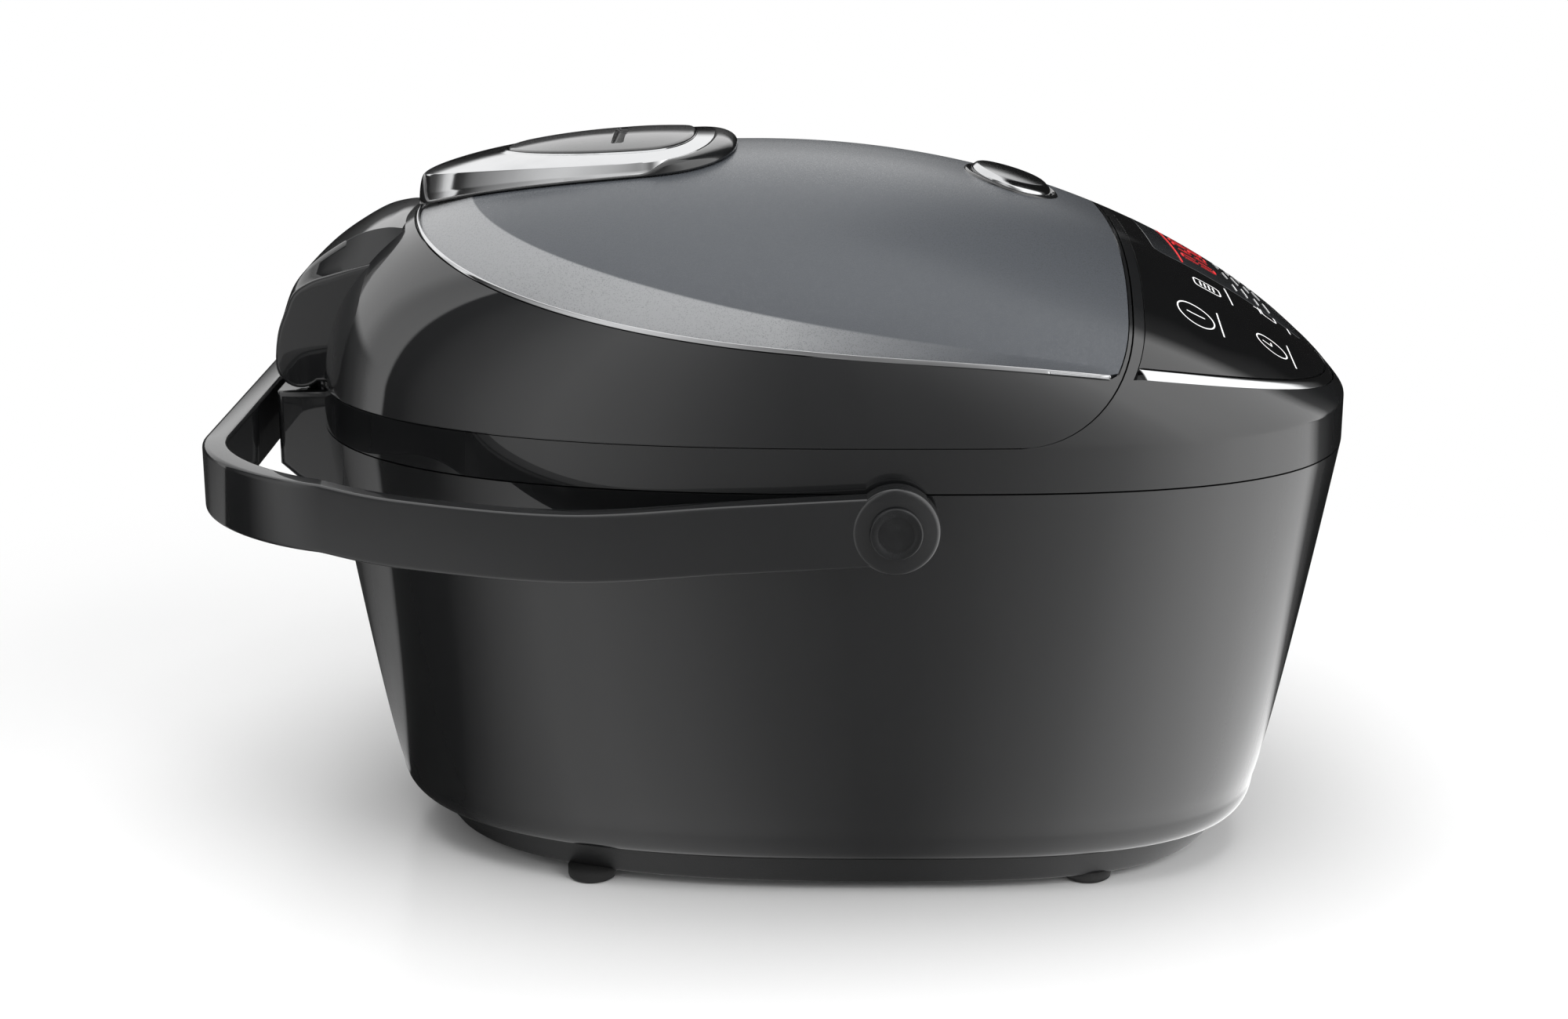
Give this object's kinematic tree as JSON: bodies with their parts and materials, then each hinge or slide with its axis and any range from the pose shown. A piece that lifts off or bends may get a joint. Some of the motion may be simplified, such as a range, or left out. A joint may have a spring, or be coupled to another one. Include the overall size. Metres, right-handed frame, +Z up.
{
  "type": "countertop multicooker",
  "caption": "Tapered egg-shaped cooker with a domed hinged lid, lift-off steam valve, sloping touch panel, folding carry handle and inner pot.",
  "frame": {"origin": "on the surface that it stands on, under the middle of its bounding box", "axes": "+Z up, -Y towards the control panel at the front, +Y towards the lid hinge and the folded handle, +X to the right seen from the front"},
  "size_m": [0.313, 0.4096, 0.2678],
  "materials": {
    "black_gloss": "high gloss moulded",
    "black_satin": "satin moulded",
    "black_matte": "fine matte texture",
    "panel_glass": "glossy touch cover",
    "display_smoke": "smoked window",
    "grey_lacquer": "dark grey lacquer",
    "bright_trim": "polished",
    "inner_frame": "satin moulded",
    "silicone": "translucent silicone",
    "foot_rubber": "matte",
    "pot_coating": "speckled non-stick coating",
    "bare_aluminium": "brushed",
    "cast_heater": "as cast",
    "steel_part": "satin",
    "pin_brass": "nickel worn brass",
    "circuit_board": "solder mask",
    "module_case": "matte",
    "wire_cover": "insulation"
  },
  "bodies": {
    "base": {"lower_housing": "black_gloss", "collar": "black_gloss", "hinge_bracket": "black_gloss", "base_pan": "black_matte", "foot_1": "foot_rubber", "foot_2": "foot_rubber", "foot_3": "foot_rubber", "foot_4": "foot_rubber", "base_screw_1": "steel_part", "base_screw_2": "steel_part", "base_screw_3": "steel_part", "base_screw_4": "steel_part", "hinge_pin": "steel_part", "hinge_spring": "steel_part", "sensor_spring": "steel_part", "panel_glass": "panel_glass", "display_window": "display_smoke", "panel_strip": "bright_trim", "control_board": "circuit_board", "power_board": "circuit_board", "display_module": "module_case", "pot_liner": "bare_aluminium", "sensor_cup": "bare_aluminium", "heater_plate": "cast_heater", "inner_pot": "pot_coating", "power_inlet": "black_satin", "handle_pivot_left": "black_satin", "handle_pivot_right": "black_satin", "inlet_pin_1": "pin_brass", "inlet_pin_2": "pin_brass", "inlet_pin_3": "pin_brass", "wiring": "wire_cover"},
    "lid": {"lid_shell": "black_gloss", "lid_top_panel": "grey_lacquer", "lid_trim": "bright_trim", "lid_inner_frame": "inner_frame", "lid_seal": "silicone", "inner_lid_plate": "bare_aluminium", "hinge_cover": "black_gloss", "button_bezel": "black_gloss", "button_spring": "steel_part"},
    "handle": {"carry_handle": "black_gloss"},
    "button": {"release_button": "bright_trim"},
    "latch": {"latch_hook": "steel_part"},
    "steam_valve": {"valve_base": "black_gloss", "valve_seal": "silicone", "valve_plate": "bright_trim", "valve_cap": "black_gloss"},
    "sensor": {"temperature_sensor": "bare_aluminium"}
  },
  "joints": [
    {"name": "lid_open", "type": "hinge", "parent": "base", "child": "lid", "pos_m": [0, 0.1832, 0.186], "axis": [-1, 0, 0], "range_deg": [0, 85]},
    {"name": "handle_swing", "type": "hinge", "parent": "base", "child": "handle", "pos_m": [0, -0.0338, 0.153], "axis": [1, 0, 0], "range_deg": [0, 90]},
    {"name": "button_press", "type": "slide", "parent": "lid", "child": "button", "axis": [0, 0, -1], "range_m": [0, 0.003], "stiffness_N_per_m": 500, "springref_m": -0.003, "deforming": ["button_spring"]},
    {"name": "latch_slide", "type": "slide", "parent": "lid", "child": "latch", "axis": [0, 1, 0], "range_m": [0, 0.005]},
    {"name": "steam_valve_lift", "type": "slide", "parent": "lid", "child": "steam_valve", "axis": [0, 0, 1], "range_m": [0, 0.045]},
    {"name": "sensor_press", "type": "slide", "parent": "base", "child": "sensor", "axis": [0, 0, -1], "range_m": [0, 0.003], "stiffness_N_per_m": 500, "springref_m": -0.003, "deforming": ["sensor_spring"]}
  ],
  "couplings": [
    {"joint": "latch_slide", "follows": "button_press", "ratio": 1.6}
  ]
}
